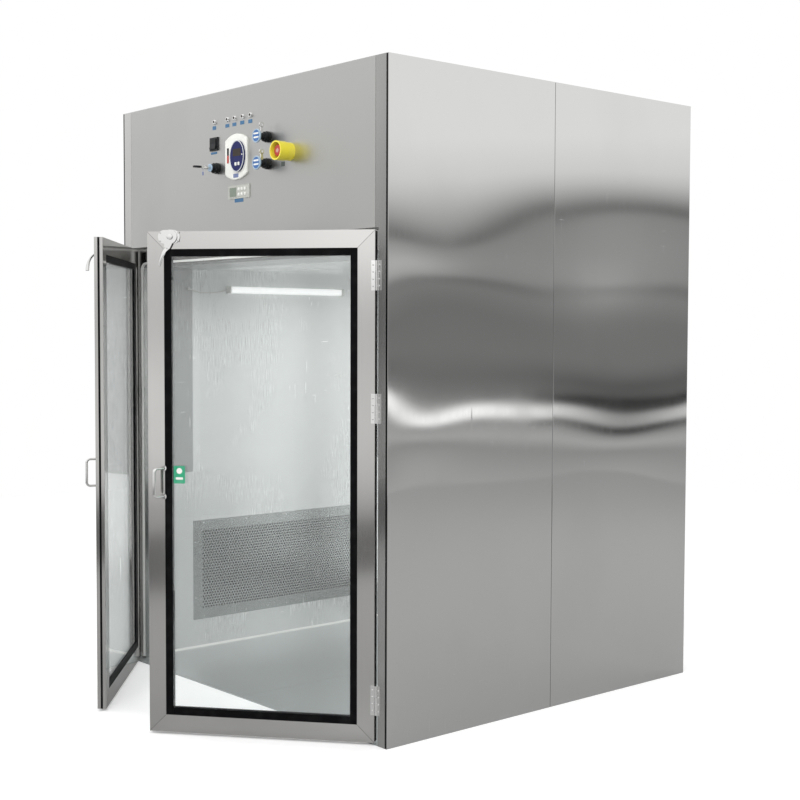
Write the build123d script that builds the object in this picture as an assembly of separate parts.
from build123d import *
import math
import os

# Walk-in pass box of stainless steel sheet, in millimetres. The origin is the middle of the base,
# +Z is up, the front doors face -Y and the right side of someone facing them is +X.

# Cabinet
cabinet_width = 1860
cabinet_depth = 1740
fascia_height = 610
sheet = 2                    # folded stainless sheet of the outer and inner skins
wall_thickness = 60          # outer face of a side panel to the inner face of its lining
bend_radius = 2.5            # outside radius of a folded edge
corner_return = 10           # the side panel folded round the corner onto the front
seam_return = 15             # the side panel folded inwards at the middle seam
seam_gap = 1
cut_margin = 1               # how far a cut runs past the piece that it opens
shadow_line = 1              # narrow joint round the corner posts and the fascias

# Door frame
post_width = 52              # cabinet side to the edge of the doorway rebate
post_depth = 65              # front face to the back of the door frame
upper_post_width = 70        # the same strip beside the fascia
leaf_thickness = 35
leaf_running_gap = 5         # closed leaf to gasket
gasket_thickness = 8
gasket_width = 9
gasket_set_back = 9          # edge of the doorway to the middle of the gasket
gasket_corner_radius = 36
gasket_foot = 8              # gasket end above the floor
stop_width = 40              # stop behind the leaf, inwards of the post
header_height = 78
header_over_leaf = 8

# Floor, ceiling and inner linings
floor_thickness = 4
floor_joint_width = 2
floor_joint_depth = 0.8
ceiling_under_header = 10
ceiling_flange = 40
lining_above_ceiling = 100
lining_joint_height = 845
lining_joint_width = 2
lining_joint_depth = 0.8

# Return-air grille low on each side wall
grille_length = 1086
grille_height = 475
grille_bottom = 138
grille_plate = 1.5
grille_margin = 50
grille_columns = 26
grille_rows = 10
grille_hole = 22

# Door leaves
pin_from_post = 6
pin_proud = 3                # hinge pin in front of the cabinet face
knuckle_radius = 5.5
pin_radius = 2.5
pin_fit = 0.05
leaf_side_gap = 6            # hinge pin to the leaf's edge
leaf_meeting_gap = 10        # between the two leaves when both are closed
leaf_bottom = 10
leaf_height = 1870
frame_member = 65
frame_edge_radius = 1.5
mitre_groove = 1
mitre_groove_depth = 0.6
mitre_groove_end = 3         # groove to the edges of the frame
glazing_border = 27
glazing_depth = 27
glazing_joint = 0.3          # between the lengths of black border
pane = 5
pane_gap = 9
meeting_seal_width = 8
meeting_seal_proud = 2
right_leaf_angle = 39        # how far each front leaf stands open
left_leaf_angle = 39.3

# Hinges
lower_hinge_up = 158         # leaf's bottom edge to the middle of the hinge
middle_hinge_down = 645      # leaf's top edge to the middle of the hinge
upper_hinge_down = 165
hinge_height = 108
hinge_plate = 2.5
hinge_plate_width = 14
hinge_plate_clearance = 0.8
hinge_lower_share = 0.6
hinge_knuckle_gap = 0.5

# Bow handles
handle_height = 950
handle_foot_from_edge = 60
handle_span = 106
handle_reach = 48
handle_lean = 27
handle_corner_radius = 14
handle_bar_width = 12
handle_bar_depth = 9
handle_bar_rounding = 4

# Turning latches at the top of each leaf
latch_from_edge = 86         # leaf's free edge to the middle of the latch plate
latch_down = 20              # leaf's top edge to the middle of the latch plate
latch_plate_length = 84
latch_plate_height = 50
latch_plate_thickness = 4
latch_pivot_offset = 6       # middle of the plate to the pin, away from the free edge
latch_pin_radius = 8
latch_knob_radius = 11
latch_knob_height = 5
lever_play = 0.5
lever_hub_radius = 26
lever_hub_thickness = 5
lever_tongue_length = 43     # pin to the end of the flat tongue under the hub
lever_tongue_width = 40
lever_bend_radius = 62
lever_bend_angle = 60        # how far the arm leans out where it leaves the tongue
lever_tip_length = 17        # straight end of the arm
lever_tilt = 16              # lean of the hanging lever towards the free edge
lever_neck_width = 22
lever_neck_depth = 6
lever_middle_width = 13
lever_middle_depth = 10
lever_tip_width = 8
lever_tip_depth = 14
lever_tip_rounding = 1.5

# Wall lamps
lamp_length = 700
lamp_under_ceiling = 88      # ceiling to the middle of the lamp
lamp_width = 34
lamp_depth = 28
lamp_edge_radius = 6
lead_radius = 3
lead_reach = 220
lead_sag = 18

# Controls on the front fascia: places are from the cabinet's middle and the fascia's lower edge
controller_place = (-14, 333)
controller_width = 156
controller_height = 186
controller_arch = 24
controller_depth = 8
controller_rounding = 4
display_place = (5, 333)
display_width = 100
display_height = 127
display_depth = 9
meter_place = (0, 191)
meter_width = 150
meter_height = 54
meter_depth = 3
indicator_columns = (-178, -82, -31, 26, 82)
indicator_row = 491
indicator_radius = 11
indicator_depth = 7
rocker_place = (-180, 400)
rocker_width = 58
rocker_height = 55
rocker_bezel_depth = 6.5
rocker_face_width = 42
rocker_face_height = 40
rocker_low_edge = 13         # how far the rocker stands out at its lower, upper and middle lines
rocker_high_edge = 10.4
rocker_hollow = 9.1
key_switch_place = (-157, 298)
key_switch_radius = 23
key_switch_nose_radius = 16
key_switch_collar_depth = 24
key_switch_depth = 40
key_barrel_radius = 7
key_barrel_length = 42
key_bow_width = 26
key_bow_length = 36
key_bow_thickness = 7
selector_places = ((203, 390), (203, 285))
selector_body_radius = 22
selector_body_depth = 26
selector_neck_radius = 14
selector_disc_radius = 27
selector_disc_depth = 8
selector_reach = 60
selector_key_thickness = 5
selector_key_depth = 14
selector_key_height = 46        # disc's axis to the middle of the round bow
selector_bow_radius = 11
selector_bow_hole = 4
stop_button_place = (345, 319)
stop_base_radius = 35
stop_base_depth = 30
stop_guard_radius = 37
stop_guard_depth = 40
stop_guard_wall = 5
stop_button_radius = 23
stop_button_depth = 14
stop_button_inset = 10        # guard's rim to the button's face
stop_stem_radius = 11

# Places worked out from the sizes above
half_width = cabinet_width / 2
half_depth = cabinet_depth / 2
front = -half_depth
post_inner = half_width - post_width
lining_inner = half_width - wall_thickness
frame_back = front + post_depth
stop_face = front + leaf_thickness + leaf_running_gap + gasket_thickness
pin_x = post_inner - pin_from_post
pin_y = front - pin_proud
leaf_hinge_edge = pin_x - leaf_side_gap
leaf_free_edge = leaf_meeting_gap / 2
leaf_top = leaf_bottom + leaf_height
header_top = leaf_top + header_over_leaf
opening_top = header_top - header_height
chamber_top = opening_top - ceiling_under_header
roof_underside = header_top + fascia_height
cabinet_height = roof_underside + sheet
latch_x = leaf_free_edge + latch_from_edge
pivot_x = latch_x + latch_pivot_offset
latch_z = leaf_top - latch_down
lamp_z = chamber_top - lamp_under_ceiling


def block(x_range, y_range, z_range):
    size = [high - low for low, high in (x_range, y_range, z_range)]
    middle = [(high + low) / 2 for low, high in (x_range, y_range, z_range)]
    return Pos(*middle) * Box(*size)


def flipped(shape):
    """The same piece on the other side of the cabinet."""
    return mirror(shape, about=Plane.YZ)


def turned_to_rear(shape):
    return Rot(0, 0, 180) * shape


def write(name, *pieces):
    solids = [solid for piece in pieces for solid in piece.solids()]
    shape = solids[0] if len(solids) == 1 else Compound(children=solids)
    export_step(shape, f"parts/{name}.step")


# Sheet skins

def floor_plate():
    """Floor let in between the posts and flush with the front, with its joint along the middle."""
    plate = block((-post_inner, post_inner), (-half_depth, half_depth), (0, floor_thickness))
    joint = block(
        (-floor_joint_width / 2, floor_joint_width / 2),
        (-half_depth, half_depth),
        (floor_thickness - floor_joint_depth, floor_thickness),
    )
    return plate - joint


def side_panel():
    """Front half of the right side: one sheet folded round the corner and in at the seam."""
    seam = -seam_gap / 2
    outline = Polyline(
        (half_width, front),
        (half_width, seam),
        (half_width - seam_return, seam),
        (half_width - seam_return, seam - sheet),
        (half_width - sheet, seam - sheet),
        (half_width - sheet, front + sheet),
        (half_width - corner_return, front + sheet),
        (half_width - corner_return, front),
        close=True,
    )
    panel = extrude(make_face(outline), amount=roof_underside)
    outer_edges = panel.edges().filter_by(Axis.Z).group_by(Axis.X)[-1]
    return fillet(outer_edges, bend_radius)


def corner_post():
    """Front right post: a wide strip beside the fascia, a narrower one beside the doorway."""
    covered = half_width - corner_return - shadow_line
    outline = Polyline(
        (post_inner, front),
        (covered, front),
        (covered, front + sheet),
        (half_width - sheet, front + sheet),
        (half_width - sheet, frame_back),
        (post_inner, frame_back),
        close=True,
    )
    post = extrude(make_face(outline), amount=roof_underside)
    shoulder = block(
        (half_width - upper_post_width, post_inner),
        (front, frame_back),
        (header_top, roof_underside),
    )
    return post + shoulder


def fascia():
    """Tray over the doorway, open at the back, its lower fold resting on the header."""
    reach = half_width - upper_post_width - shadow_line
    tray = block((-reach, reach), (front, frame_back), (header_top, roof_underside))
    hollow = block(
        (sheet - reach, reach - sheet),
        (front + sheet, frame_back),
        (header_top + sheet, roof_underside - sheet),
    )
    return tray - hollow


def roof_panel():
    """Sheet laid over the panels, posts and fascias."""
    return block((-half_width, half_width), (-half_depth, half_depth), (roof_underside, cabinet_height))


def lining():
    """Inner skin of the right wall with its opening for the return air."""
    skin = block(
        (lining_inner, lining_inner + sheet),
        (frame_back, -frame_back),
        (floor_thickness, chamber_top + lining_above_ceiling),
    )
    half_field = grille_length / 2 - grille_margin
    opening = block(
        (lining_inner - sheet, lining_inner + 2 * sheet),
        (-half_field, half_field),
        (grille_bottom + grille_margin, grille_bottom + grille_height - grille_margin),
    )
    joint = block(
        (lining_inner, lining_inner + lining_joint_depth),
        (frame_back, -frame_back),
        (lining_joint_height, lining_joint_height + lining_joint_width),
    )
    return skin - opening - joint


def ceiling():
    """Tray between the linings and the door headers, its edges turned up."""
    tray = block(
        (-lining_inner, lining_inner),
        (frame_back, -frame_back),
        (chamber_top, chamber_top + ceiling_flange),
    )
    hollow = block(
        (sheet - lining_inner, lining_inner - sheet),
        (frame_back + sheet, -frame_back - sheet),
        (chamber_top + sheet, chamber_top + ceiling_flange),
    )
    return tray - hollow


def return_grille():
    """Perforated plate screwed over the opening in the right lining."""
    plate = block(
        (lining_inner - grille_plate, lining_inner),
        (-grille_length / 2, grille_length / 2),
        (grille_bottom, grille_bottom + grille_height),
    )
    field_length = grille_length - 2 * grille_margin
    field_height = grille_height - 2 * grille_margin
    column_pitch = field_length / grille_columns
    row_pitch = field_height / grille_rows
    centre = (lining_inner, 0, grille_bottom + grille_height / 2)
    face = Plane(origin=centre, x_dir=(0, 1, 0), z_dir=(1, 0, 0))
    holes = []
    for row in range(grille_rows):
        shift = column_pitch / 4 * (-1) ** row
        for column in range(grille_columns):
            along = (column + 0.5) * column_pitch - field_length / 2 + shift
            up = (row + 0.5) * row_pitch - field_height / 2
            holes.append(Pos(along, up) * RegularPolygon(grille_hole / 2, 4))
    cutters = extrude(face * Sketch(children=holes), amount=-grille_plate)
    return plate - cutters


# Door frame

def door_stop():
    """Stop behind the right leaf's edge, between the post and the doorway."""
    return block(
        (post_inner - stop_width, post_inner),
        (stop_face, frame_back),
        (floor_thickness, opening_top),
    )


def header():
    return block((-post_inner, post_inner), (stop_face, frame_back), (opening_top, header_top))


def gasket():
    """White seal round the doorway, open at the floor."""
    reach = post_inner - stop_width + gasket_set_back
    top = opening_top + gasket_set_back
    start = floor_thickness + gasket_foot
    below = -gasket_corner_radius * 2
    middle = (top + below) / 2
    height = top - below
    outer = RectangleRounded(
        2 * reach + gasket_width,
        height + gasket_width,
        gasket_corner_radius + gasket_width / 2,
    )
    inner = RectangleRounded(
        2 * reach - gasket_width,
        height - gasket_width,
        gasket_corner_radius - gasket_width / 2,
    )
    face = Plane(origin=(0, stop_face, middle), x_dir=(1, 0, 0), z_dir=(0, -1, 0))
    ring = extrude(face * (outer - inner), amount=gasket_thickness)
    lower_end = block(
        (-half_width, half_width),
        (front, frame_back),
        (2 * below, start),
    )
    return ring - lower_end


# Right leaf in its closed place at the front

def leaf_outline(inset):
    """Rectangle inside the leaf's outline, by so much on every side."""
    return (
        (leaf_free_edge + inset, leaf_hinge_edge - inset),
        (leaf_bottom + inset, leaf_top - inset),
    )


def leaf_slab(inset, near, far):
    """Slab of the leaf from one depth behind its outer face to another."""
    across, upwards = leaf_outline(inset)
    return block(across, (front + near, front + far), upwards)


def leaf_frame():
    frame = leaf_slab(0, 0, leaf_thickness)
    frame = fillet(frame.edges().filter_by(Axis.Z), frame_edge_radius)
    frame -= leaf_slab(frame_member, -cut_margin, leaf_thickness + cut_margin)
    across, upwards = leaf_outline(0)
    for x, x_way in ((across[0], 1), (across[1], -1)):
        for z, z_way in ((upwards[0], 1), (upwards[1], -1)):
            centre = (x + x_way * frame_member / 2, z + z_way * frame_member / 2)
            length = (frame_member - 2 * mitre_groove_end) * math.sqrt(2)
            for y in (front, front + leaf_thickness):
                groove = Box(length, 2 * mitre_groove_depth, mitre_groove)
                frame -= Pos(centre[0], y, centre[1]) * Rot(0, -45 * x_way * z_way, 0) * groove
    return frame


def leaf_border():
    """Four lengths of black edge between the frame and the clear glass, butted at the corners."""
    near = (leaf_thickness - glazing_depth) / 2
    depth = (front + near, front + near + glazing_depth)
    across, upwards = leaf_outline(frame_member)
    glass_across, glass_upwards = leaf_outline(frame_member + glazing_border)
    between = (glass_across[0] + glazing_joint, glass_across[1] - glazing_joint)
    return [
        block((across[0], glass_across[0]), depth, upwards),
        block((glass_across[1], across[1]), depth, upwards),
        block(between, depth, (upwards[0], glass_upwards[0])),
        block(between, depth, (glass_upwards[1], upwards[1])),
    ]


def meeting_seal():
    """Strip let along the leaf's free edge."""
    middle = front + leaf_thickness / 2
    return block(
        (leaf_free_edge - meeting_seal_proud, leaf_free_edge),
        (middle - meeting_seal_width / 2, middle + meeting_seal_width / 2),
        (leaf_bottom, leaf_top),
    )


def leaf_glass():
    """Two panes with a space between them."""
    inset = frame_member + glazing_border
    outer = (leaf_thickness - pane_gap) / 2 - pane
    inner = outer + pane + pane_gap
    return leaf_slab(inset, outer, outer + pane) + leaf_slab(inset, inner, inner + pane)


def handle():
    """Bow of flattened bar that leans towards the leaf's free edge."""
    foot_x = leaf_free_edge + handle_foot_from_edge
    lean = math.radians(handle_lean)
    outwards = (-math.sin(lean), -math.cos(lean), 0)
    across = Plane(
        origin=(foot_x, front, handle_height),
        x_dir=outwards,
        z_dir=(math.cos(lean), -math.sin(lean), 0),
    )
    buried = handle_bar_width
    half_span = handle_span / 2
    path = FilletPolyline(
        (-buried, -half_span),
        (handle_reach, -half_span),
        (handle_reach, half_span),
        (-buried, half_span),
        radius=handle_corner_radius,
    )
    start = across.from_local_coords((-buried, -half_span, 0))
    section = Plane(origin=start, x_dir=(0, 0, 1), z_dir=outwards) * RectangleRounded(
        handle_bar_depth,
        handle_bar_width,
        handle_bar_rounding,
    )
    bow = sweep(section, path=across * path)
    behind_face = block(
        (foot_x - handle_reach, foot_x + handle_reach),
        (front, front + 2 * handle_reach),
        (handle_height - handle_span, handle_height + handle_span),
    )
    return bow - behind_face


def on_leaf_face(x, z, out=0):
    """Plane on the leaf's outer face, x to the right and y up, looking outwards."""
    return Plane(origin=(x, front - out, z), x_dir=(1, 0, 0), z_dir=(0, -1, 0))


def latch_base():
    """Round-ended plate with the pin that the lever turns on and the knob that keeps it there."""
    plate = extrude(
        on_leaf_face(latch_x, latch_z) * SlotOverall(latch_plate_length, latch_plate_height),
        amount=latch_plate_thickness,
    )
    pin_length = latch_plate_thickness + lever_hub_thickness + 2 * lever_play
    pin = extrude(on_leaf_face(pivot_x, latch_z) * Circle(latch_pin_radius), amount=pin_length)
    knob = extrude(
        on_leaf_face(pivot_x, latch_z, pin_length) * Circle(latch_knob_radius),
        amount=latch_knob_height,
    )
    knob = fillet(knob.edges().group_by(Axis.Y)[0], latch_knob_height / 2)
    return plate + pin + knob


def bend_section(lean, width, depth, below=0):
    """Oval section where the arm leans out from the leaf, or so far below the end of the bend."""
    angle = math.radians(lean)
    start = math.radians(lever_bend_angle)
    hub_middle = latch_plate_thickness + lever_play + lever_hub_thickness / 2
    reach = hub_middle + lever_bend_radius * (math.cos(angle) - math.cos(start))
    drop = lever_tongue_length + lever_bend_radius * (math.sin(start) - math.sin(angle)) + below
    place = Plane(
        origin=(pivot_x, front - reach, latch_z - drop),
        x_dir=(1, 0, 0),
        z_dir=(0, -math.sin(angle), -math.cos(angle)),
    )
    return place * Ellipse(width / 2, depth / 2)


def latch_lever():
    """Round hub and flat tongue, with an arm that bends out and narrows into an upright grip."""
    hub_start = latch_plate_thickness + lever_play
    face = on_leaf_face(pivot_x, latch_z, hub_start)
    hub = extrude(face * Circle(lever_hub_radius), amount=lever_hub_thickness)
    tongue_outline = Polyline(
        (-lever_tongue_width / 2, 0),
        (lever_tongue_width / 2, 0),
        (lever_neck_width / 2, -lever_tongue_length),
        (-lever_neck_width / 2, -lever_tongue_length),
        close=True,
    )
    tongue = extrude(face * make_face(tongue_outline), amount=lever_hub_thickness)
    arm = loft([
        bend_section(0, lever_tip_width, lever_tip_depth, lever_tip_length),
        bend_section(0, lever_tip_width, lever_tip_depth),
        bend_section(lever_bend_angle / 2, lever_middle_width, lever_middle_depth),
        bend_section(lever_bend_angle, lever_neck_width, lever_neck_depth),
    ])
    arm = fillet(arm.edges().group_by(Axis.Z)[0], lever_tip_rounding)
    turn = Pos(pivot_x, front, latch_z) * Rot(0, lever_tilt, 0) * Pos(-pivot_x, -front, -latch_z)
    bore = extrude(
        on_leaf_face(pivot_x, latch_z, hub_start - cut_margin) * Circle(latch_pin_radius + pin_fit),
        amount=lever_hub_thickness + 2 * cut_margin,
    )
    return hub + turn * (tongue + arm) - bore


def upright(radius, low, high):
    return Pos(pin_x, pin_y, (low + high) / 2) * Cylinder(radius, high - low)


def hinge_halves(centre):
    """Fixed and moving halves of one lift-off hinge on the right leaf."""
    low = centre - hinge_height / 2
    high = centre + hinge_height / 2
    split = low + hinge_lower_share * hinge_height
    upper_start = split + hinge_knuckle_gap
    plate_depth = (front - hinge_plate, front)
    clear = knuckle_radius + hinge_plate_clearance
    fixed = block((pin_x + clear, pin_x + clear + hinge_plate_width), plate_depth, (low, high))
    fixed += block((pin_x, pin_x + clear), plate_depth, (low, split))
    fixed += upright(knuckle_radius, low, split)
    fixed += upright(pin_radius, low, high - hinge_plate)
    moving = block((pin_x - clear - hinge_plate_width, pin_x - clear), plate_depth, (low, high))
    moving += block((pin_x - clear, pin_x), plate_depth, (upper_start, high))
    moving += upright(knuckle_radius, upper_start, high)
    moving -= upright(pin_radius + pin_fit, low, high - hinge_plate + hinge_knuckle_gap)
    return fixed, moving


# Fittings

def wall_lamp():
    """Round-edged lamp along the top of the right wall."""
    lamp = block(
        (lining_inner - lamp_depth, lining_inner),
        (-lamp_length / 2, lamp_length / 2),
        (lamp_z - lamp_width / 2, lamp_z + lamp_width / 2),
    )
    inner_edges = lamp.edges().filter_by(Axis.Y).group_by(Axis.X)[0]
    return fillet(inner_edges, lamp_edge_radius)


def lamp_lead():
    """Short lead from the right wall to the end of its lamp."""
    lamp_end = -lamp_length / 2
    start = (lining_inner - lamp_depth / 2, lamp_end, lamp_z)
    plane = Plane(origin=start, x_dir=(0, -1, 0), z_dir=(-1, 0, 0))
    path = ThreePointArc((0, 0), (lead_reach / 2, -lead_sag), (lead_reach, 0))
    section = plane * Plane(origin=(0, 0, 0), z_dir=path % 0) * Circle(lead_radius)
    run = sweep(section, path=plane * path)
    wall_end = block(
        (lining_inner - lamp_depth / 2 - 2 * lead_radius, lining_inner),
        (lamp_end - lead_reach - 2 * lead_radius, lamp_end - lead_reach),
        (lamp_z - 2 * lead_radius, lamp_z + 2 * lead_radius),
    )
    return run + wall_end - wall_lamp()


def on_fascia(x, up, out=0):
    """Plane on the fascia, its height from the fascia's lower edge."""
    return Plane(origin=(x, front - out, header_top + up), x_dir=(1, 0, 0), z_dir=(0, -1, 0))


def controller():
    """White housing with arched top and bottom edges."""
    half = controller_width / 2
    shoulder = controller_height / 2 - controller_arch
    tip = controller_height / 2
    outline = [
        Line((-half, -shoulder), (-half, shoulder)),
        ThreePointArc((-half, shoulder), (0, tip), (half, shoulder)),
        Line((half, shoulder), (half, -shoulder)),
        ThreePointArc((half, -shoulder), (0, -tip), (-half, -shoulder)),
    ]
    body = extrude(on_fascia(*controller_place) * make_face(outline), amount=controller_depth)
    front_edges = body.edges().group_by(Axis.Y)[0]
    return fillet(front_edges, controller_rounding)


def display():
    """Oval window raised on the controller."""
    window = extrude(
        on_fascia(*display_place, controller_depth) * Ellipse(display_width / 2, display_height / 2),
        amount=display_depth,
    )
    return chamfer(window.edges().group_by(Axis.Y)[0], frame_edge_radius)


def meter():
    return extrude(on_fascia(*meter_place) * Rectangle(meter_width, meter_height), amount=meter_depth)


def indicator(x):
    lens = extrude(on_fascia(x, indicator_row) * Circle(indicator_radius), amount=indicator_depth)
    return chamfer(lens.edges().group_by(Axis.Y)[0], indicator_depth / 3)


def rocker_switch():
    """Square bezel with the rocker standing out of it."""
    x, up = rocker_place
    bezel = extrude(on_fascia(x, up) * Rectangle(rocker_width, rocker_height), amount=rocker_bezel_depth)
    bezel = chamfer(bezel.edges().group_by(Axis.Y)[0], frame_edge_radius)
    half = rocker_face_height / 2
    side = Plane(origin=(x, front, header_top + up), x_dir=(0, -1, 0), z_dir=(-1, 0, 0))
    profile = Polyline(
        (rocker_bezel_depth, -half),
        (rocker_low_edge, -half),
        (rocker_hollow, 0),
        (rocker_high_edge, half),
        (rocker_bezel_depth, half),
        close=True,
    )
    rocker = extrude(side * make_face(profile), amount=rocker_face_width / 2, both=True)
    return bezel + rocker


def key_switch():
    """Round switch, stepped towards its front, with its key in place."""
    collar = extrude(on_fascia(*key_switch_place) * Circle(key_switch_radius), amount=key_switch_collar_depth)
    nose = extrude(on_fascia(*key_switch_place) * Circle(key_switch_nose_radius), amount=key_switch_depth)
    nose = chamfer(nose.edges().group_by(Axis.Y)[0], frame_edge_radius)
    barrel = extrude(
        on_fascia(*key_switch_place, key_switch_depth) * Circle(key_barrel_radius),
        amount=key_barrel_length,
    )
    bow_start = key_switch_depth + key_barrel_length
    bow_outline = on_fascia(*key_switch_place, bow_start) * Rectangle(key_bow_width, key_bow_thickness)
    bow = extrude(bow_outline, amount=key_bow_length)
    bow = fillet(bow.edges().filter_by(Axis.Z), key_bow_width / 3)
    return collar + nose + barrel + bow


def selector(x, up):
    """Key switch: black body, neck and a round disc at the front, with an upright key beside them."""
    body = extrude(on_fascia(x, up) * Circle(selector_body_radius), amount=selector_body_depth)
    body = chamfer(body.edges().group_by(Axis.Y)[0], frame_edge_radius * 2)
    disc_start = selector_reach - selector_disc_depth
    neck = extrude(on_fascia(x, up) * Circle(selector_neck_radius), amount=disc_start)
    disc = extrude(
        on_fascia(x, up, disc_start) * Circle(selector_disc_radius),
        amount=selector_disc_depth,
    )
    key_middle = selector_body_depth + selector_key_depth / 2
    blade = block(
        (x - selector_key_thickness / 2, x + selector_key_thickness / 2),
        (front - key_middle - selector_key_depth / 2, front - key_middle + selector_key_depth / 2),
        (header_top + up, header_top + up + selector_key_height),
    )
    bow_plane = Plane(
        origin=(x - selector_key_thickness / 2, front - key_middle, header_top + up + selector_key_height),
        x_dir=(0, -1, 0),
        z_dir=(1, 0, 0),
    )
    bow = extrude(bow_plane * Circle(selector_bow_radius), amount=selector_key_thickness)
    hole = extrude(bow_plane * Circle(selector_bow_hole), amount=selector_key_thickness)
    return body + neck + disc + blade + (bow - hole)


def stop_guard():
    """Yellow base and the open collar round the stop button."""
    base = extrude(on_fascia(*stop_button_place) * Circle(stop_base_radius), amount=stop_base_depth)
    collar = extrude(
        on_fascia(*stop_button_place, stop_base_depth) * Circle(stop_guard_radius),
        amount=stop_guard_depth,
    )
    hollow = extrude(
        on_fascia(*stop_button_place, stop_base_depth) * Circle(stop_guard_radius - stop_guard_wall),
        amount=stop_guard_depth,
    )
    return base + (collar - hollow)


def stop_button():
    """Red mushroom on its stem, inside the collar."""
    cap_start = stop_base_depth + stop_guard_depth - stop_button_inset - stop_button_depth
    stem = extrude(
        on_fascia(*stop_button_place, stop_base_depth) * Circle(stop_stem_radius),
        amount=cap_start - stop_base_depth,
    )
    cap = extrude(
        on_fascia(*stop_button_place, cap_start) * Circle(stop_button_radius),
        amount=stop_button_depth,
    )
    cap = fillet(cap.edges().group_by(Axis.Y)[0], stop_button_depth / 3)
    return stem + cap


# Building and writing the pieces

os.makedirs("parts", exist_ok=True)

write("floor_plate", floor_plate())

side_half = side_panel()
write("right_side_panel_front", side_half)
write("right_side_panel_rear", mirror(side_half, about=Plane.XZ))
write("left_side_panel_front", flipped(side_half))
write("left_side_panel_rear", turned_to_rear(side_half))

post = corner_post()
write("front_post_right", post)
write("front_post_left", flipped(post))
write("rear_post_right", turned_to_rear(flipped(post)))
write("rear_post_left", turned_to_rear(post))

write("front_fascia", fascia())
write("rear_fascia", turned_to_rear(fascia()))
write("roof_panel", roof_panel())

wall_lining = lining()
write("right_wall_lining", wall_lining)
write("left_wall_lining", flipped(wall_lining))
write("chamber_ceiling", ceiling())
grille = return_grille()
write("right_return_grille", grille)
write("left_return_grille", flipped(grille))

stop = door_stop()
write("front_stop_right", stop)
write("front_stop_left", flipped(stop))
write("front_header", header())
write("rear_stop_right", turned_to_rear(flipped(stop)))
write("rear_stop_left", turned_to_rear(stop))
write("rear_header", turned_to_rear(header()))
door_seal = gasket()
write("front_door_gasket", door_seal)
write("rear_door_gasket", turned_to_rear(door_seal))

hinge_heights = (
    leaf_bottom + lower_hinge_up,
    leaf_top - middle_hinge_down,
    leaf_top - upper_hinge_down,
)
hinges = [hinge_halves(height) for height in hinge_heights]
fixed_halves = [fixed for fixed, moving in hinges]
moving_halves = [moving for fixed, moving in hinges]
leaf_pieces = {
    "leaf_frame": [leaf_frame()],
    "leaf_seals": [*leaf_border(), meeting_seal()],
    "leaf_glass": [leaf_glass()],
    "leaf_handle": [handle()],
    "leaf_hinges": moving_halves,
    "latch_base": [latch_base()],
    "latch_lever": [latch_lever()],
}


def opened(shape, side):
    """A closed piece of the right leaf, moved to the chosen leaf as it stands at rest."""
    angle = right_leaf_angle if side == "right" else left_leaf_angle
    swung = Pos(pin_x, pin_y, 0) * Rot(0, 0, angle) * Pos(-pin_x, -pin_y, 0) * shape
    return swung if side == "right" else flipped(swung)


for side in ("right", "left"):
    for name, pieces in leaf_pieces.items():
        write(f"{side}_{name}", *[opened(piece, side) for piece in pieces])

rear_names = {
    "leaf_frame": "rear_leaf_frames",
    "leaf_seals": "rear_leaf_seals",
    "leaf_glass": "rear_leaf_glass",
    "leaf_handle": "rear_handles",
    "latch_base": "rear_latch_bases",
    "latch_lever": "rear_latch_levers",
}
for name, node in rear_names.items():
    pieces = leaf_pieces[name]
    write(node, *[turned_to_rear(piece) for piece in pieces + [flipped(piece) for piece in pieces]])

front_fixed = fixed_halves + [flipped(half) for half in fixed_halves]
rear_moving = [turned_to_rear(half) for half in moving_halves + [flipped(half) for half in moving_halves]]
write("front_hinge_plates", *front_fixed)
write("rear_hinges", *[turned_to_rear(half) for half in front_fixed], *rear_moving)

lamp = wall_lamp()
lead = lamp_lead()
write("wall_lamps", lamp, flipped(lamp))
write("lamp_leads", lead, flipped(lead))

write("controller", controller())
write("controller_display", display())
write("meter_panel", meter())
write("indicator_lamps", *[indicator(x) for x in indicator_columns])
write("rocker_switch", rocker_switch())
write("power_key_switch", key_switch())
write("key_selectors", *[selector(x, up) for x, up in selector_places])
write("emergency_stop_guard", stop_guard())
write("emergency_stop_button", stop_button())
